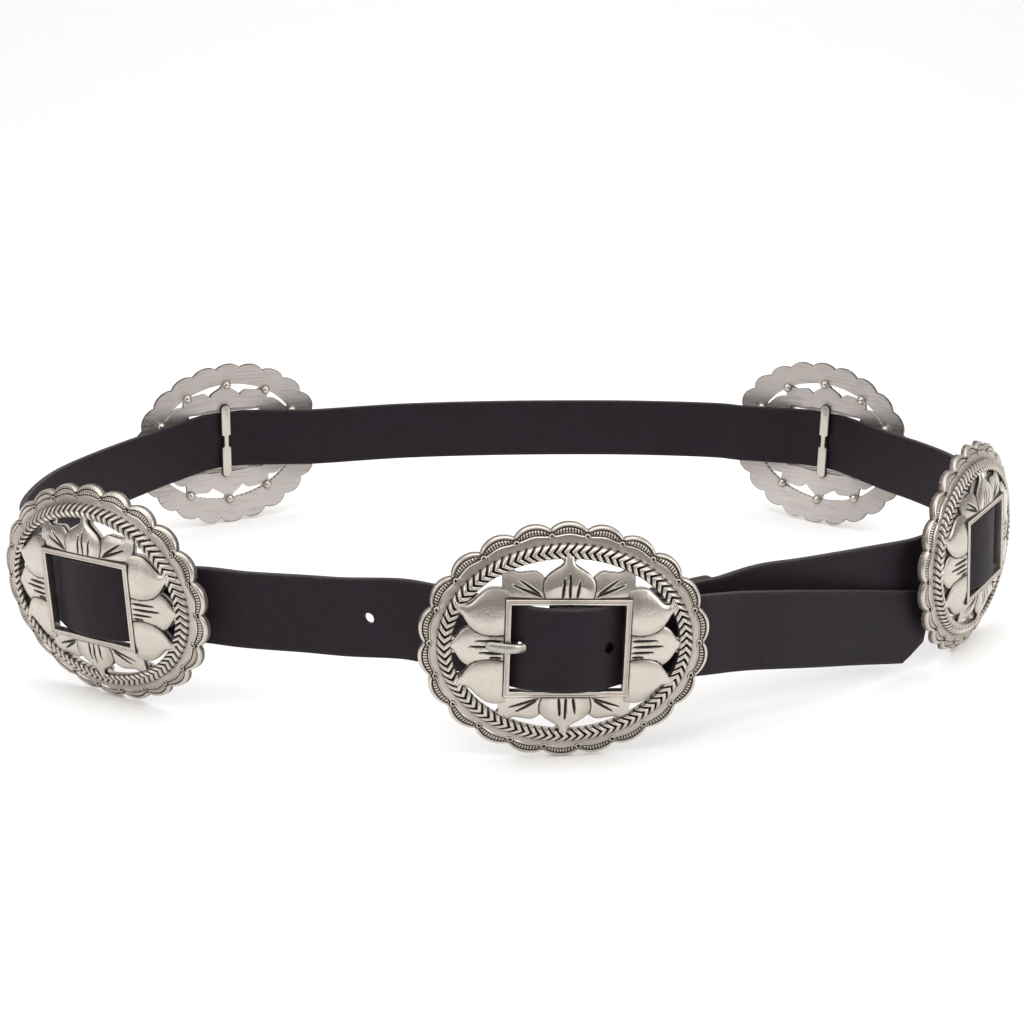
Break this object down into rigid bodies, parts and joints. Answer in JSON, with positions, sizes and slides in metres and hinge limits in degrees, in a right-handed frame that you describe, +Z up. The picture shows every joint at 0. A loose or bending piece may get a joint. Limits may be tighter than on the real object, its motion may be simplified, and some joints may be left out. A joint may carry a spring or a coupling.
{
  "type": "concho belt",
  "caption": "Leather belt closed in a loop through oval pierced cast-metal conchos with scalloped edges, rope rings and petals; the front one is the buckle with a tongue.",
  "frame": {"origin": "bottom centre of the belt's bounding box, on the surface it stands on", "axes": "+Z up across the strap's width, +X to the right seen from the front, the buckle faces -Y"},
  "size_m": [0.3628, 0.2762, 0.0727],
  "materials": {
    "leather": "smooth dark dyed leather with raw cut edges",
    "concho_metal": "antiqued pewter-coloured casting, satin, dark in the recesses",
    "rivet_metal": "satin"
  },
  "bodies": {
    "root": {"strap": "leather", "buckle": "concho_metal", "concho_left_front": "concho_metal", "concho_right_front": "concho_metal", "concho_left_back": "concho_metal", "concho_right_back": "concho_metal", "tongue": "concho_metal", "flap_rivet": "rivet_metal"}
  },
  "joints": []
}
